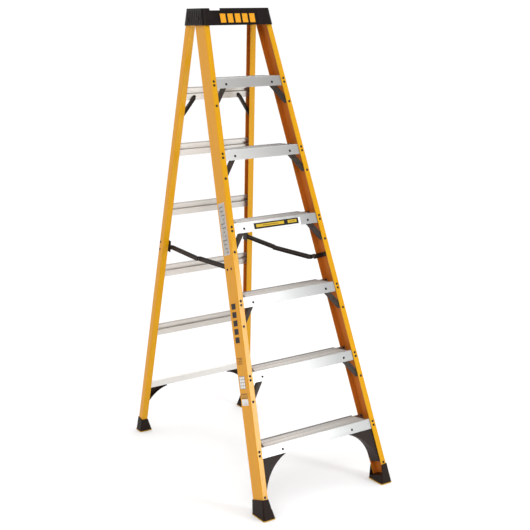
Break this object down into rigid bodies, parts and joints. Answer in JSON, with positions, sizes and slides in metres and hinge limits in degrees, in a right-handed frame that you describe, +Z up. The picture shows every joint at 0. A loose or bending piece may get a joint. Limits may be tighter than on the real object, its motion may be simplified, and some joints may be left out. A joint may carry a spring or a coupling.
{
  "type": "step ladder",
  "caption": "Folding A-frame step ladder with flat ribbed steps between fibreglass rails, a moulded top cap and hinged spreaders.",
  "frame": {"origin": "centre of the footprint, on the floor, with the ladder standing open", "axes": "+Z up, +X to the right of a climber facing the steps, +Y the way the climber faces, from the steps to the rear rails"},
  "size_m": [0.658, 1.1736, 1.993],
  "materials": {
    "fibreglass": "glossy pultruded fibreglass",
    "aluminium": "mill finish, extruded",
    "black_plastic": "fine moulded texture",
    "tread_pad": "matt",
    "steel": "zinc plated",
    "rivet_metal": "dull plated",
    "spreader": "dark plated sheet",
    "label": "printed film",
    "badge": "printed plate"
  },
  "bodies": {
    "front_section": {"cap_badge": "badge", "cap_bolts": "steel", "front_bracket_left": "spreader", "front_bracket_right": "spreader", "front_foot_left": "black_plastic", "front_foot_right": "black_plastic", "front_gusset_left": "black_plastic", "front_gusset_right": "black_plastic", "front_pad_left": "tread_pad", "front_pad_right": "tread_pad", "front_pins": "steel", "front_rail_left": "fibreglass", "front_rail_right": "fibreglass", "front_rivets": "rivet_metal", "rail_labels": "label", "step_1": "aluminium", "step_2": "aluminium", "step_3": "aluminium", "step_4": "aluminium", "step_5": "aluminium", "step_6": "aluminium", "step_brace_left_2": "spreader", "step_brace_left_3": "spreader", "step_brace_left_4": "spreader", "step_brace_left_5": "spreader", "step_brace_left_6": "spreader", "step_brace_right_2": "spreader", "step_brace_right_3": "spreader", "step_brace_right_4": "spreader", "step_brace_right_5": "spreader", "step_brace_right_6": "spreader", "step_label": "label", "top_cap": "black_plastic"},
    "rear_section": {"rear_bar_1": "aluminium", "rear_bar_2": "aluminium", "rear_bar_3": "aluminium", "rear_bar_4": "aluminium", "rear_bar_5": "aluminium", "rear_bar_6": "aluminium", "rear_brace_left": "spreader", "rear_brace_right": "spreader", "rear_bracket_left": "spreader", "rear_bracket_right": "spreader", "rear_foot_left": "black_plastic", "rear_foot_right": "black_plastic", "rear_gusset_left": "black_plastic", "rear_gusset_right": "black_plastic", "rear_pad_left": "tread_pad", "rear_pad_right": "tread_pad", "rear_pins": "steel", "rear_rail_left": "fibreglass", "rear_rail_right": "fibreglass", "rear_rivets": "rivet_metal"},
    "front_arm_left": {"front_arm_left": "spreader"},
    "front_arm_right": {"front_arm_right": "spreader"},
    "rear_arm_left": {"middle_pin_left": "steel", "rear_arm_left": "spreader"},
    "rear_arm_right": {"middle_pin_right": "steel", "rear_arm_right": "spreader"}
  },
  "joints": [
    {"name": "rear_fold", "type": "hinge", "parent": "front_section", "child": "rear_section", "pos_m": [0, 0.20825, 1.948], "axis": [-1, 0, 0], "range_deg": [0, 28]},
    {"name": "front_arm_turn_right", "type": "hinge", "parent": "front_section", "child": "front_arm_right", "pos_m": [0.1965, -0.1683, 0.9358], "axis": [1, 0, 0], "range_deg": [0, 72]},
    {"name": "rear_arm_turn_right", "type": "hinge", "parent": "rear_section", "child": "rear_arm_right", "pos_m": [0.2042, 0.3635, 0.9367], "axis": [-1, 0, 0], "range_deg": [0, 80]},
    {"name": "front_arm_turn_left", "type": "hinge", "parent": "front_section", "child": "front_arm_left", "pos_m": [-0.1965, -0.1683, 0.9358], "axis": [1, 0, 0], "range_deg": [0, 72]},
    {"name": "rear_arm_turn_left", "type": "hinge", "parent": "rear_section", "child": "rear_arm_left", "pos_m": [-0.2042, 0.3635, 0.9367], "axis": [-1, 0, 0], "range_deg": [0, 80]}
  ],
  "couplings": [
    {"joint": "front_arm_turn_right", "follows": "rear_fold", "ratio": 2.5621},
    {"joint": "rear_arm_turn_right", "follows": "rear_fold", "ratio": 2.8264},
    {"joint": "front_arm_turn_left", "follows": "rear_fold", "ratio": 2.5621},
    {"joint": "rear_arm_turn_left", "follows": "rear_fold", "ratio": 2.8264}
  ]
}
